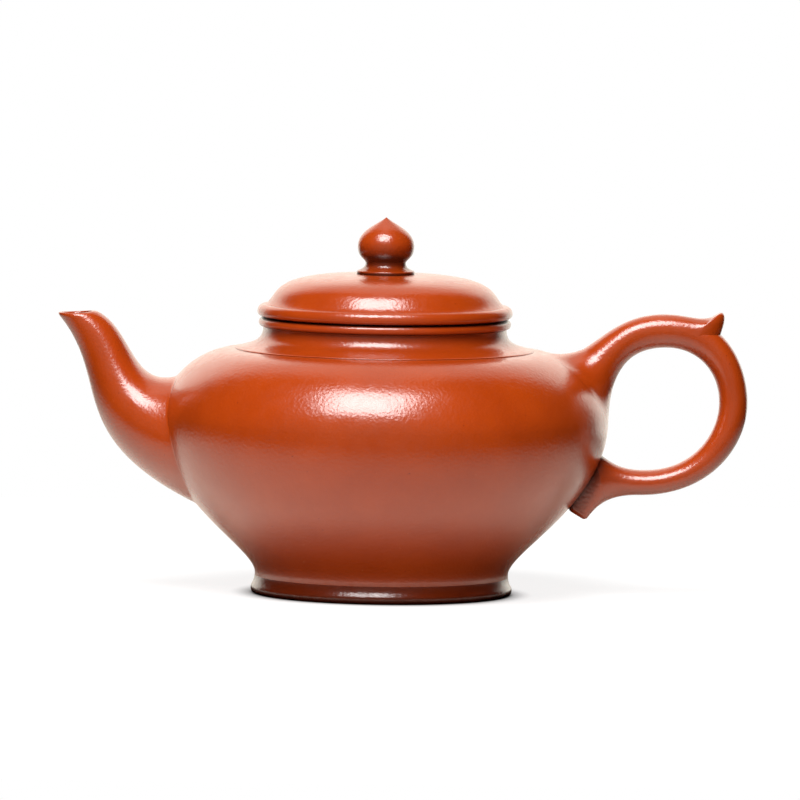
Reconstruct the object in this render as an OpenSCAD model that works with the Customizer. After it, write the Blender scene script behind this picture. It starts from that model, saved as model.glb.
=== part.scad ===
// Yixing-style clay teapot with a curved spout, a loop handle and a lift-off lid.
// Each module is one clay piece that the potter forms by itself and lutes to its neighbours with slip.
// Frame: origin at the centre of the foot on the table, +Z up, spout towards -X, handle towards +X.
// All sizes are in millimetres.

/* [Body] */
// Greatest diameter of the belly
belly_d = 103.7; // [90:0.1:120]
// Height of the belly's widest line above the table
belly_z = 40.5; // [34:0.1:46]
// Height of the shoulder, where the neck stands
shoulder_z = 56.3; // [52:0.1:66]
// Diameter of the waist just above the foot
waist_d = 58.5; // [50:0.1:66]
// Thickness of the belly wall and of the closing disc at its top
wall = 2.8; // [2:0.1:3.6]
// Width of the closing disc at the body's top, from the mouth's bore outwards
top_disc_w = 4.8; // [4:0.1:6]
// Thickness of the base disc
base_t = 2.8; // [2:0.1:3.6]
// Height of the base disc's top above the foot ring
base_lap = 0.6; // [0.4:0.1:1.2]

/* [Foot] */
// Reach of the foot's flared lip beyond the waist
foot_flare = 0.9; // [0.5:0.05:3]
// Height of the foot ring
foot_h = 4; // [3:0.1:6]
// Height of the widest line of the flared lip
foot_lip_z = 1.1; // [0.7:0.1:1.6]
// Distance of the resting ring's outer edge from the lip
foot_rest_inset = 0.65; // [0.4:0.05:1.5]
// Rounding of the foot ring's inner edge
foot_edge = 0.6; // [0.3:0.1:1]

/* [Neck and mouth] */
// Bore of the mouth
mouth_d = 50.4; // [44:0.1:52]
// Thickness of the neck's wall under the mouth rim
neck_wall = 2.9; // [2.2:0.1:3.6]
// Reach of the neck's foot beyond the neck, on the shoulder
neck_flare = 6.3; // [4:0.1:8]
// Height of the crisp edge round the neck's foot
neck_edge_h = 0.4; // [0.2:0.1:0.8]
// Height of the neck
neck_h = 4.9; // [3.5:0.1:8]
// Reach of the rounded mouth rim beyond the neck
rim_overhang = 1; // [0.6:0.05:2]
// Height of the mouth rim
rim_h = 2.5; // [2:0.1:4]
// Width of the bevel inside the mouth rim
rim_bevel = 0.4; // [0.2:0.1:0.8]

/* [Lid] */
// Reach of the lid's rounded rim beyond the mouth rim
lid_overhang = 0.35; // [0:0.05:1]
// Height of the lid's rim
lid_rim_h = 2.9; // [2.2:0.1:4.5]
// Distance of the dome's foot from the lid's rounded rim
dome_inset = 1.95; // [1.5:0.05:3]
// Height of the dome above the lid's rim
dome_h = 7.2; // [6:0.1:12]
// Thickness of the lid's dome
lid_wall = 2.6; // [2:0.1:3.6]
// Depth of the guide ring below the lid's seat
flange_depth = 8; // [5:0.1:12]
// Thickness of the guide ring
flange_wall = 2.2; // [1.6:0.1:3]
// Gap between the guide ring and the bore of the mouth
lid_clearance = 0.3; // [0.2:0.05:0.6]
// Diameter of the air hole in the dome
vent_d = 2.2; // [1.6:0.1:3]
// Distance of the air hole from the lid's axis, on the side away from the viewer
vent_offset = 11; // [9:0.1:14]

/* [Knob] */
// Diameter of the knob
knob_d = 13; // [11:0.1:16]
// Height of the knob from its neck to its tip
knob_h = 10.6; // [8:0.1:14]
// Height of the knob's widest line above its neck
knob_belly_h = 3.8; // [3:0.1:5]
// Diameter of the knob's neck
knob_neck_d = 9.3; // [7:0.1:10.5]
// Diameter of the knob's flared seat
seat_d = 13.3; // [11.5:0.1:16]
// Height of the knob's seat
seat_h = 2.5; // [1.8:0.1:4]
// Height of the seat's upright edge
seat_edge_h = 0.6; // [0.3:0.1:1]

/* [Spout] */
// Distance of the spout's tip from the belly's widest line
spout_reach = 23.9; // [20:0.1:30]
// Height of the spout's tip above the table
spout_tip_z = 63.9; // [60:0.1:70]
// Length of the spout's mouth, from the tip to the back
spout_mouth_l = 9; // [8:0.1:12]
// Width of the spout's mouth
spout_mouth_w = 8.4; // [7:0.1:10]
// Depth of the dip in the mouth's sides
spout_dip = 0.2; // [0:0.1:2]
// Height of the root's lowest point on the belly
spout_low_z = 18.6; // [15:0.1:22]
// Height of the root's highest point on the belly
spout_high_z = 50.5; // [47:0.1:52]
// Width of the spout where its root starts inside the belly
spout_root_w = 33; // [29:0.1:37]
// Wall of the spout at its root
spout_root_wall = 3; // [2.2:0.1:4]
// Wall of the spout at its lip
spout_lip_wall = 1.2; // [1:0.1:1.8]

/* [Strainer] */
// Height of the outlet hole's centre above the table
outlet_z = 37; // [33:0.1:41]
// Diameter of the outlet hole through the belly wall
outlet_d = 13; // [10:0.1:15]
// Width of the ledge between the outlet hole and the strainer's wall
strainer_ledge = 1.5; // [1:0.1:2.5]
// Thickness of the strainer's wall
strainer_wall = 1.4; // [1:0.1:2]
// Diameter of one strainer hole
strainer_hole_d = 1.6; // [1.2:0.1:1.8]
// Angle between two rings of strainer holes
strainer_pitch = 19; // [18:0.5:22]

/* [Handle] */
// Width of the finger gap, from the belly's widest line to the loop
finger_w = 25.5; // [22:0.1:30]
// Height of the finger gap's lowest point above the table
finger_low_z = 29.3; // [27:0.1:32]
// Height of the finger gap's highest point above the table
finger_high_z = 57.7; // [55:0.1:62]
// Height of the loop's outermost point above the table
loop_side_z = 45; // [42:0.1:48]
// Thickness of the loop at its top
loop_top_t = 7.7; // [7:0.1:9.5]
// Thickness of the loop at its side
loop_side_t = 6.6; // [6:0.1:8.5]
// Thickness of the loop at its bottom
loop_low_t = 5.8; // [5:0.1:7.5]
// Width of the loop across its section
loop_w = 7.6; // [6:0.1:9]
// Share by which the loop's section narrows towards its back under the thumb rest
loop_ridge = 0.4; // [0:0.05:0.5]
// Distance of the upper root's top below the shoulder
upper_root_drop = 1.5; // [1:0.1:3]
// Height of the loop's upper root on the belly
upper_root_h = 16.8; // [13:0.1:18]
// Width of the loop's upper root on the shoulder
upper_root_w = 14; // [10:0.1:17]
// Rise of the loop's inner line from the finger gap's lowest point to the lower root
lower_root_rise = 3.7; // [2:0.1:5]
// Height of the loop's lower root on the belly
lower_root_h = 10.5; // [8:0.1:12]
// Width of the loop's lower root on the belly
lower_root_w = 10; // [8:0.1:13]
// Height of the thumb rest's tip above the loop's top
thumb_rise = 0.1; // [0:0.1:2]
// Distance of the thumb rest's tip from the finger gap's outer side
thumb_reach = 0.3; // [0:0.1:2]
// Width of the thumb rest at its tip
thumb_tip_w = 4.6; // [3:0.1:5.5]
// Width of the handle's tail
tail_w = 7; // [5.5:0.1:8]
// Thickness of the handle's tail at its cut end
tail_t = 5; // [3.5:0.1:5.5]
// Height of the tail's cut end above the table
tail_z = 17.6; // [15:0.1:19]

/* [Roots] */
// Depth below the belly's surface at which the spout and the handle are shaped to start
root_sink = 2; // [1:0.1:3]

/* [Hidden] */
$fn = 96;
belly_r = belly_d / 2;
waist_r = waist_d / 2;
waist_z = foot_h + base_lap;
seam_r = waist_r - wall;
mouth_r = mouth_d / 2;
top_disc_r = mouth_r + top_disc_w;
neck_r = mouth_r + neck_wall;
neck_base_r = neck_r + neck_flare;
rim_r = neck_r + rim_overhang;
rim_z = shoulder_z + neck_h;
lid_z = rim_z + rim_h;
lid_r = rim_r + lid_overhang;
dome_z = lid_z + lid_rim_h;
dome_r = lid_r - dome_inset;
flange_r = mouth_r - lid_clearance;
flange_bore_r = flange_r - flange_wall;
seat_z = dome_z + dome_h;
seat_r = seat_d / 2;
knob_z = seat_z + seat_h;
knob_r = knob_d / 2;
knob_neck_r = knob_neck_d / 2;
clay = [0.62, 0.2, 0.08];
raw_clay = [0.66, 0.3, 0.18];

// One point of a cubic Bezier curve with control points c, at t from 0 to 1.
function bezier_at(c, t) =
    let (s = 1 - t)
    s * s * s * c[0] + 3 * s * s * t * c[1] + 3 * s * t * t * c[2] + t * t * t * c[3];

// Points along a chain of cubic Bezier curves that meet end to end.
function chain(curves, steps) = [
    for (k = [0:len(curves) - 1])
        for (i = [(k == 0 ? 0 : 1):steps])
            bezier_at(curves[k], i / steps)
];

function reversed(list) = [for (i = [len(list) - 1:-1:0]) list[i]];

// The curve moved sideways by distance d, to the left of its direction.
function beside(list, d) = [
    for (i = [0:len(list) - 1])
        let (
            along = list[min(i + 1, len(list) - 1)] - list[max(i - 1, 0)],
            side = [-along[1], along[0]] / norm(along)
        )
        list[i] + d * side
];

// Outline of the belly from the waist up to the neck, as radius and height.
belly_curve = chain([
    [[waist_r, waist_z], [waist_r, waist_z + 5.6], [belly_r, belly_z - 19], [belly_r, belly_z]],
    [[belly_r, belly_z], [belly_r, belly_z + 6], [neck_base_r + 10, shoulder_z], [neck_base_r, shoulder_z]]
], 22);
belly_outline = concat([[waist_r, foot_h]], belly_curve);

// Outline of the tea's space, from the base disc up to the closing disc.
cavity_outline = concat(
    [[seam_r, foot_h]],
    beside(belly_curve, wall),
    [[top_disc_r, shoulder_z - wall]]
);

// Radius of the belly's outside at height z.
function belly_r_at(z) = lookup(z, [for (p = belly_curve) [p[1], p[0]]]);

// One closed ring of a loft: its section spans from point a to point b of the two edge lines in the XZ plane.
// Factor egg narrows it towards a, and a power above 2 squares it off.
function section(a, b, half_w, egg, power, sides) = [
    for (j = [0:sides - 1])
        let (
            c = cos(360 * j / sides),
            s = sin(360 * j / sides),
            u = sign(c) * pow(abs(c), 2 / power),
            v = sign(s) * pow(abs(s), 2 / power),
            p = (a + b) / 2 + u * (b - a) / 2
        )
        [p[0], half_w * v * (1 + egg * u), p[1]]
];

// Side faces between neighbouring rings of a loft, each split into two triangles.
function skin(first, rings, sides) = [
    for (k = [0:rings - 2])
        for (j = [0:sides - 1])
            let (
                a = first + k * sides + j,
                b = first + k * sides + (j + 1) % sides
            )
            each [[a, b, b + sides], [a, b + sides, a + sides]]
];

// End face of a loft, closed by a fan of triangles.
function cap(first, sides) = [for (j = [1:sides - 2]) [first, first + j + 1, first + j]];

function flipped(faces) = [for (f = faces) reversed(f)];

// Solid that runs through the given rings.
module loft(rings) {
    sides = len(rings[0]);
    count = len(rings);
    polyhedron(
        points = [for (ring = rings) each ring],
        faces = concat(
            skin(0, count, sides),
            cap(0, sides),
            flipped(cap((count - 1) * sides, sides))
        )
    );
}

// Tube with an outer and an inner skin, open at both ends.
module tube_loft(outer, inner) {
    sides = len(outer[0]);
    count = len(outer);
    inside = count * sides;
    last = (count - 1) * sides;
    polyhedron(
        points = concat([for (ring = outer) each ring], [for (ring = inner) each ring]),
        faces = concat(
            skin(0, count, sides),
            flipped(skin(inside, count, sides)),
            [
                for (j = [0:sides - 1])
                    let (n = (j + 1) % sides)
                    each [
                        [j, inside + j, inside + n],
                        [j, inside + n, n],
                        [last + j, inside + last + n, inside + last + j],
                        [last + j, last + n, inside + last + n]
                    ]
            ]
        )
    );
}

module revolve(outline) {
    rotate_extrude()
        polygon(outline);
}

// The whole body without its hollow, which trims what is luted to its outside.
module belly_solid() {
    revolve(concat([[0, foot_h]], belly_outline, [[0, shoulder_z]]));
}

module belly_wall() {
    color(clay)
        difference() {
            revolve(concat(belly_outline, [[top_disc_r, shoulder_z]], reversed(cavity_outline)));
            translate([-belly_r - wall, 0, outlet_z])
                rotate([0, 90, 0])
                    cylinder(d = outlet_d, h = 4 * wall);
        }
}

module base_disc() {
    color(raw_clay)
        translate([0, 0, waist_z - base_t])
            cylinder(r = seam_r, h = base_t);
}

module top_disc() {
    color(raw_clay)
        revolve([
            [mouth_r, shoulder_z - wall],
            [top_disc_r, shoulder_z - wall],
            [top_disc_r, shoulder_z],
            [mouth_r, shoulder_z]
        ]);
}

module foot_ring() {
    lip_r = waist_r + foot_flare;
    rest_r = lip_r - foot_rest_inset;
    color(clay)
        revolve(concat(
            [[seam_r, foot_edge], [seam_r + foot_edge, 0]],
            chain([
                [[rest_r, 0], [lip_r - 0.1, 0], [lip_r, foot_lip_z / 2], [lip_r, foot_lip_z]],
                [[lip_r, foot_lip_z], [lip_r, foot_lip_z + 0.9], [waist_r + 0.2, foot_lip_z + 1], [waist_r, foot_h]]
            ], 8),
            [[seam_r, foot_h]]
        ));
}

module neck() {
    edge_z = shoulder_z + neck_edge_h;
    color(clay)
        revolve(concat(
            [[mouth_r, shoulder_z], [neck_base_r, shoulder_z]],
            chain([[
                [neck_base_r, edge_z],
                [neck_base_r - 3.2, edge_z + 1],
                [neck_r, edge_z + 1.7],
                [neck_r, rim_z]
            ]], 16),
            [[mouth_r, rim_z]]
        ));
}

module mouth_rim() {
    color(clay)
        revolve(concat(
            [[mouth_r, rim_z]],
            chain([
                [[neck_r, rim_z], [neck_r + 0.6, rim_z + 0.1], [rim_r, rim_z + 0.8], [rim_r, lid_z - 1]],
                [[rim_r, lid_z - 1], [rim_r, lid_z - 0.4], [rim_r - 0.3, lid_z], [rim_r - 0.8, lid_z]]
            ], 8),
            [[mouth_r + rim_bevel, lid_z], [mouth_r, lid_z - rim_bevel]]
        ));
}

// The spout's two edge lines in the XZ plane: the lower one ends in the tip, the upper one behind the mouth.
spout_tip = [-belly_r - spout_reach, spout_tip_z];
spout_back = spout_tip + [spout_mouth_l, 0.5];
spout_lower = chain([[
    [root_sink - belly_r_at(spout_low_z), spout_low_z],
    [spout_tip[0] + 0.1, spout_low_z + 15.9],
    spout_tip + [13.8, -15.3],
    spout_tip
]], 30);
spout_upper = chain([[
    [root_sink - belly_r_at(spout_high_z), spout_high_z],
    [-belly_r - 7, spout_high_z - 6.2],
    spout_back + [9.4, -3.9],
    spout_back
]], 30);

// Width of the spout at t from 0 at its root to 1 at its mouth.
function spout_w(t) = spout_mouth_w + (spout_root_w - spout_mouth_w) * pow(1 - t, 1.6);

// Rings of the spout, inset from its outside by the given share of its wall.
function spout_rings(inset) = [
    for (i = [0:30])
        let (
            t = i / 30,
            thickness = inset * (spout_root_wall + (spout_lip_wall - spout_root_wall) * t),
            chord = spout_upper[i] - spout_lower[i],
            inward = thickness * chord / norm(chord),
            half_w = spout_w(t) / 2 - thickness,
            dip = spout_dip * pow(max(0, (t - 0.6) / 0.4), 2)
        )
        [
            for (p = section(spout_lower[i] + inward, spout_upper[i] - inward, half_w, 0.45 * t, 2, 28))
                p - [0, 0, dip * pow(p[1] / half_w, 2)]
        ]
];

module spout() {
    color(clay)
        difference() {
            tube_loft(spout_rings(0), spout_rings(1));
            belly_solid();
        }
}

// Pierced dome over the outlet hole, seated on the inside of the belly wall.
module ball_strainer() {
    bore_r = outlet_d / 2 + strainer_ledge;
    out_r = bore_r + strainer_wall;
    color(raw_clay)
        intersection() {
            translate([wall - belly_r_at(outlet_z), 0, outlet_z])
                difference() {
                    sphere(r = out_r);
                    sphere(r = bore_r);
                    for (ring = [0:3])
                        for (i = [0:max(0, 6 * ring - 1)])
                            rotate([360 * i / max(1, 6 * ring), 0, 0])
                                rotate([0, 90 - ring * strainer_pitch, 0])
                                    translate([0, 0, bore_r / 2])
                                        cylinder(d = strainer_hole_d, h = out_r);
                }
            revolve(concat([[0, foot_h]], cavity_outline, [[0, shoulder_z - wall]]));
        }
}

// Edge lines of the handle's loop, from its upper root round to its lower one.
side_x = belly_r + finger_w;
upper_out_z = shoulder_z - upper_root_drop;
upper_in_z = upper_out_z - upper_root_h;
lower_in_z = finger_low_z + lower_root_rise;
lower_out_z = lower_in_z - lower_root_h;
upper_in = [belly_r_at(upper_in_z) - root_sink, upper_in_z];
upper_out = [belly_r_at(upper_out_z) - root_sink, upper_out_z];
lower_in = [belly_r_at(lower_in_z) - root_sink, lower_in_z];
lower_out = [belly_r_at(lower_out_z) - root_sink, lower_out_z];
top_in = [side_x - 12.2, finger_high_z];
top_out = [side_x - 12.6, finger_high_z + loop_top_t];
side_in = [side_x, loop_side_z];
side_out = [side_x + loop_side_t, loop_side_z];
low_in = [side_x - 17.2, finger_low_z];
low_out = [side_x - 18.2, finger_low_z - loop_low_t];
loop_in = chain([
    [upper_in, upper_in + [3.6, 4], top_in - [15, 0], top_in],
    [top_in, top_in + [7, 0], side_in + [0, 7.5], side_in],
    [side_in, side_in - [0, 6.7], low_in + [11.8, 0], low_in],
    [low_in, low_in - [7.9, 0], lower_in + [3, 0], lower_in]
], 14);
loop_out = chain([
    [upper_out, upper_out + [9, 0.3], top_out - [13.4, 0], top_out],
    [top_out, top_out + [15.8, 0], side_out + [0, 6.4], side_out],
    [side_out, side_out - [0, 9.5], low_out + [16.9, 0], low_out],
    [low_out, low_out - [6, 0], lower_out + [3, 0], lower_out]
], 14);

// Half width of the loop's section at t from 0 at the upper root to 1 at the lower one.
function loop_half_w(t) =
    (loop_w
        + (upper_root_w - loop_w) * pow(max(0, 1 - t / 0.2), 2)
        + (lower_root_w - loop_w) * pow(max(0, (t - 0.82) / 0.18), 2)) / 2;

// Narrowing of the loop's section towards its back, greatest under the thumb rest.
function loop_egg(t) = -loop_ridge * sin(180 * min(1, t / 0.6));

module loop_solid() {
    count = len(loop_in);
    loft([
        for (i = [0:count - 1])
            let (t = i / (count - 1))
            section(loop_in[i], loop_out[i], loop_half_w(t), loop_egg(t), 2.2, 20)
    ]);
}

module handle_loop() {
    color(clay)
        difference() {
            loop_solid();
            belly_solid();
        }
}

// Horn on the loop's top, whose blunt, bulging end looks away from the pot.
module thumb_rest() {
    tip = [side_x + thumb_reach, finger_high_z + loop_top_t + thumb_rise];
    upper = chain([[top_out + [1, -1.6], top_out + [5, 0.3], tip - [2.3, 2], tip]], 14);
    lower = chain([[top_out + [1, -4], top_out + [6, -4], tip - [4, 6], tip + [0.3, -5.6]]], 14);
    color(clay)
        difference() {
            loft(concat(
                [
                    for (i = [0:14])
                        section(lower[i], upper[i], thumb_tip_w * (0.4 + 0.1 * i / 14), 0, 2.4, 16)
                ],
                [section(tip + [0.4, -3.8], tip + [0.75, -1.2], thumb_tip_w / 3, 0, 2.4, 16)]
            ));
            loop_solid();
        }
}

// Square-cut tail that runs from the loop's lower root down the belly.
module handle_tail() {
    heel = [belly_r_at(tail_z + 2.5) - 0.2, tail_z + 2.5];
    toe = heel + tail_t * [0.86, -0.51];
    inner = chain([[lower_in - [1, 5], lower_in - [2, 8], heel + [1, 3], heel]], 10);
    outer = chain([[low_out + [-1, 1], low_out - [5, 0], toe + [2.4, 3.6], toe]], 10);
    color(clay)
        difference() {
            loft([
                for (i = [0:10])
                    section(inner[i], outer[i], tail_w * (0.3 + 0.2 * i / 10), 0, 2 + 0.25 * i, 20)
            ]);
            belly_solid();
            loop_solid();
        }
}

module lid_dome() {
    color(clay)
        difference() {
            revolve(concat(
                [[0, seat_z]],
                chain([[
                    [seat_r, seat_z],
                    [seat_r + 20, seat_z - 0.2],
                    [dome_r - 3, dome_z + 2.4],
                    [dome_r, dome_z]
                ]], 24),
                chain([[
                    [flange_bore_r, dome_z],
                    [flange_bore_r, dome_z + 2.5],
                    [flange_bore_r - 10, seat_z - lid_wall],
                    [0, seat_z - lid_wall]
                ]], 14)
            ));
            translate([0, vent_offset, dome_z])
                cylinder(d = vent_d, h = 2 * dome_h);
        }
}

module lid_rim() {
    color(clay)
        revolve(concat(
            [[flange_r, lid_z]],
            chain([
                [[lid_r - 0.9, lid_z], [lid_r - 0.3, lid_z], [lid_r, lid_z + 0.7], [lid_r, lid_z + 1.6]],
                [[lid_r, lid_z + 1.6], [lid_r, dome_z - 0.5], [lid_r - 0.4, dome_z], [lid_r - 1.1, dome_z]]
            ], 8),
            [[flange_r, dome_z]]
        ));
}

module lid_flange() {
    foot_z = lid_z - flange_depth;
    edge = flange_wall / 3;
    color(raw_clay)
        revolve([
            [flange_bore_r, foot_z + edge],
            [flange_bore_r + edge, foot_z],
            [flange_r - edge, foot_z],
            [flange_r, foot_z + edge],
            [flange_r, dome_z],
            [flange_bore_r, dome_z]
        ]);
}

module knob_seat() {
    edge_z = seat_z + seat_edge_h;
    color(clay)
        revolve(concat(
            [[0, seat_z], [seat_r - 0.3, seat_z], [seat_r, seat_z + 0.2]],
            chain([[
                [seat_r, edge_z],
                [seat_r - 0.6, edge_z + 0.4],
                [knob_neck_r, edge_z + 0.9],
                [knob_neck_r, knob_z]
            ]], 8),
            [[0, knob_z]]
        ));
}

module knob() {
    crown_h = knob_h - knob_belly_h;
    widest_z = knob_z + knob_belly_h;
    tip_z = knob_z + knob_h;
    color(clay)
        revolve(concat(
            [[0, knob_z]],
            chain([
                [
                    [knob_neck_r, knob_z],
                    [knob_neck_r, knob_z + 0.26 * knob_belly_h],
                    [knob_r, widest_z - 0.71 * knob_belly_h],
                    [knob_r, widest_z]
                ],
                [
                    [knob_r, widest_z],
                    [knob_r, widest_z + 0.56 * crown_h],
                    [0.31 * knob_r, tip_z - 0.25 * crown_h],
                    [0, tip_z]
                ]
            ], 12)
        ));
}

belly_wall();
base_disc();
top_disc();
foot_ring();
neck();
mouth_rim();
spout();
ball_strainer();
handle_loop();
thumb_rest();
handle_tail();
lid_dome();
lid_rim();
lid_flange();
knob_seat();
knob();
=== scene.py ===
"""Looks of the clay teapot.

Smooth turned and hand-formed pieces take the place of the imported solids. Clay, light and camera
follow the photograph.
"""

import math

import bmesh
import bpy
import numpy as np
from mathutils import Matrix, Vector


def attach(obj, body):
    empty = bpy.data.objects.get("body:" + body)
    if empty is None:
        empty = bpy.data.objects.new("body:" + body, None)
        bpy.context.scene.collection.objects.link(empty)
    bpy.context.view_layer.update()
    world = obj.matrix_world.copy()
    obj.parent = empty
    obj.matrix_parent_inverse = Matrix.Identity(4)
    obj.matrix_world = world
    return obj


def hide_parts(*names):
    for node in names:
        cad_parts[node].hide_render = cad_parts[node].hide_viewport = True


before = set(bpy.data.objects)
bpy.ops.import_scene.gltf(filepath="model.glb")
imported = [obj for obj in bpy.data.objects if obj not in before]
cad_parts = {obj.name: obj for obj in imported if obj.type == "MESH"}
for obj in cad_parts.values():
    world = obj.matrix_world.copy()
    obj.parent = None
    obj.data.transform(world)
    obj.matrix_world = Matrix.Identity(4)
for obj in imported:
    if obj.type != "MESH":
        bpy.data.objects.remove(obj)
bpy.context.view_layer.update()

MM = 0.001

# Sizes of the solids, in millimetres. They repeat the part's own values.

# Belly and foot.
BELLY_R = 51.85
BELLY_Z = 40.5
SHOULDER_Z = 56.3
WALL = 2.8
WAIST_R = 29.25
WAIST_Z = 4.6
FOOT_H = 4.0
SEAM_R = WAIST_R - WALL
FOOT_LIP_R = 30.15
FOOT_LIP_Z = 1.1
FOOT_REST_R = 29.5

# Neck and mouth.
TOP_DISC_R = 30.0
NECK_BASE_R = 34.4
NECK_R = 28.1
MOUTH_R = 25.2
RIM_R = 29.1
RIM_Z = 61.2

# Lid.
LID_Z = 63.7
LID_R = 29.45
LID_WALL = 2.6
DOME_R = 27.5
DOME_Z = 66.6
FLANGE_R = 24.9
FLANGE_BORE_R = 22.7
FLANGE_FOOT_Z = 55.7
VENT_R = 1.1
VENT_Y = 11.0

# Knob and its seat.
SEAT_R = 6.65
SEAT_Z = 73.8
SEAT_EDGE_Z = 74.4
KNOB_Z = 76.3
KNOB_NECK_R = 4.65
KNOB_R = 6.5
KNOB_WIDEST_Z = 80.1
KNOB_TIP_Z = 86.9

# Spout and handle.
OUTLET_R = 6.5
OUTLET_Z = 37.0
ROOT_SINK = 2.0
SIDE_X = 77.35

# Fineness of the turned pieces: steps round the axis, then steps of each curve of an outline.
TURN_STEPS = 192
BELLY_STEPS = 64
NECK_STEPS = 20
RING_STEPS = 14
CORNER_STEPS = 6
DOME_STEPS = 48
UNDER_STEPS = 40
KNOB_STEPS = 32

# Curves. An outline's points are radius and height. A plain number beside a named size moves a
# point of a curve, or one of its handles, by so many millimetres.


def smooth(share):
    """Share of 0 to 1 that starts and ends gently."""
    return share**2 * (3 - 2 * share)


def bezier(corners, steps):
    """Points along a cubic Bezier curve, both ends included."""
    a, b, c, d = np.array(corners, float)
    t = np.linspace(0, 1, steps + 1)[:, None]
    s = 1 - t
    return s**3 * a + 3 * s**2 * t * b + 3 * s * t**2 * c + t**3 * d


def chain(curves, steps):
    """Points along cubic Bezier curves that meet end to end."""
    parts = [bezier(curves[0], steps)]
    parts += [bezier(c, steps)[1:] for c in curves[1:]]
    return np.vstack(parts)


def directions(points):
    """Direction of a curve at each of its points."""
    along = np.gradient(points, axis=0)
    return along / np.linalg.norm(along, axis=1)[:, None]


def beside(points, distance):
    """The curve moved sideways by a distance, to the left of its direction."""
    along = directions(points)
    return points + distance * np.column_stack([-along[:, 1], along[:, 0]])


belly_curve = chain([
    [(WAIST_R, WAIST_Z), (WAIST_R, WAIST_Z + 5.6), (BELLY_R, BELLY_Z - 19), (BELLY_R, BELLY_Z)],
    [
        (BELLY_R, BELLY_Z), (BELLY_R, BELLY_Z + 6),
        (NECK_BASE_R + 10, SHOULDER_Z), (NECK_BASE_R, SHOULDER_Z),
    ],
], BELLY_STEPS)
belly_slope = directions(belly_curve)
cavity_curve = beside(belly_curve, WALL)


def belly_r_at(z):
    """Radius of the belly's outside at height z."""
    return np.interp(z, belly_curve[:, 1], belly_curve[:, 0])


def belly_normal(p):
    """Outward direction of the belly's surface beside point p."""
    dr = np.interp(p[2], belly_curve[:, 1], belly_slope[:, 0])
    dz = np.interp(p[2], belly_curve[:, 1], belly_slope[:, 1])
    r = math.hypot(p[0], p[1])
    n = np.array([dz * p[0] / r, dz * p[1] / r, -dr])
    return n / np.linalg.norm(n)


def out_of_belly(p):
    """How far point p lies outside the belly, measured level."""
    return math.hypot(p[0], p[1]) - belly_r_at(p[2])


APPROACHES = 4


def onto_belly(p):
    """Point p moved onto the belly's surface."""
    p = np.array(p, float)
    for _ in range(APPROACHES):
        n = belly_normal(p)
        p -= n * out_of_belly(p) * math.hypot(n[0], n[1])
        p[2] = min(p[2], SHOULDER_Z)
    return p


# Shader nodes. A source is an output of a node, a number, or a colour as a tuple.

# Numbers of a mix node's sockets: both inputs and the output.
NUMBER_SOCKETS = (2, 3, 0)
COLOUR_SOCKETS = (6, 7, 2)
BLACK = (0, 0, 0)
WHITE = (1, 1, 1)


def plug(tree, source, socket):
    """Gives a source to a socket."""
    if isinstance(source, bpy.types.NodeSocket):
        tree.links.new(source, socket)
    elif isinstance(source, tuple):
        socket.default_value = (*source, 1)
    else:
        socket.default_value = source


def output(tree, kind, name):
    """Output of a new node that has no inputs."""
    return tree.nodes.new(kind).outputs[name]


def mix(tree, share, a, b):
    """Colour between a and b, by a share of 0 to 1."""
    node = tree.nodes.new("ShaderNodeMix")
    node.data_type = "RGBA"
    first, second, result = COLOUR_SOCKETS
    plug(tree, share, node.inputs[0])
    plug(tree, a, node.inputs[first])
    plug(tree, b, node.inputs[second])
    return node.outputs[result]


def blend(tree, share, a, b):
    """Number between a and b, by a share of 0 to 1."""
    node = tree.nodes.new("ShaderNodeMix")
    first, second, result = NUMBER_SOCKETS
    plug(tree, share, node.inputs[0])
    plug(tree, a, node.inputs[first])
    plug(tree, b, node.inputs[second])
    return node.outputs[result]


def ramp(tree, value, span, low, high):
    """Colour that goes from low to high while a value crosses a span."""
    node = tree.nodes.new("ShaderNodeValToRGB")
    for element, place, colour in zip(node.color_ramp.elements, span, (low, high)):
        element.position = place
        element.color = (*colour, 1)
    plug(tree, value, node.inputs["Fac"])
    return node.outputs["Color"]


def spread(tree, value, span, levels):
    """Number that goes evenly between two levels while a value crosses a span."""
    node = tree.nodes.new("ShaderNodeMapRange")
    node.inputs["From Min"].default_value, node.inputs["From Max"].default_value = span
    node.inputs["To Min"].default_value, node.inputs["To Max"].default_value = levels
    plug(tree, value, node.inputs["Value"])
    return node.outputs[0]


def reckon(tree, operation, value, other=0):
    """Number made from a value and a second one by a named operation."""
    node = tree.nodes.new("ShaderNodeMath")
    node.operation = operation
    plug(tree, value, node.inputs[0])
    plug(tree, other, node.inputs[1])
    return node.outputs[0]


def measure(tree, operation, vector, other):
    """Number made from a vector and a fixed one by a named operation."""
    node = tree.nodes.new("ShaderNodeVectorMath")
    node.operation = operation
    plug(tree, vector, node.inputs[0])
    node.inputs[1].default_value = other
    return node.outputs["Value"]


def openness(tree, distance):
    """How open a surface is within a distance, from 0 in a deep recess to 1."""
    node = tree.nodes.new("ShaderNodeAmbientOcclusion")
    node.inputs["Distance"].default_value = distance
    return node.outputs["AO"]


def noise(tree, coords, scale, detail, roughness=0.5):
    """Even noise in space, with its scale in patches per metre."""
    node = tree.nodes.new("ShaderNodeTexNoise")
    node.inputs["Scale"].default_value = scale
    node.inputs["Detail"].default_value = detail
    node.inputs["Roughness"].default_value = roughness
    plug(tree, coords, node.inputs["Vector"])
    return node.outputs["Fac"]


def bump(tree, height, distance, before=None):
    """Direction of a surface that a height roughens, on top of an earlier bump."""
    node = tree.nodes.new("ShaderNodeBump")
    node.inputs["Strength"].default_value = 1
    node.inputs["Distance"].default_value = distance
    plug(tree, height, node.inputs["Height"])
    if before is not None:
        plug(tree, before, node.inputs["Normal"])
    return node.outputs["Normal"]


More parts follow.
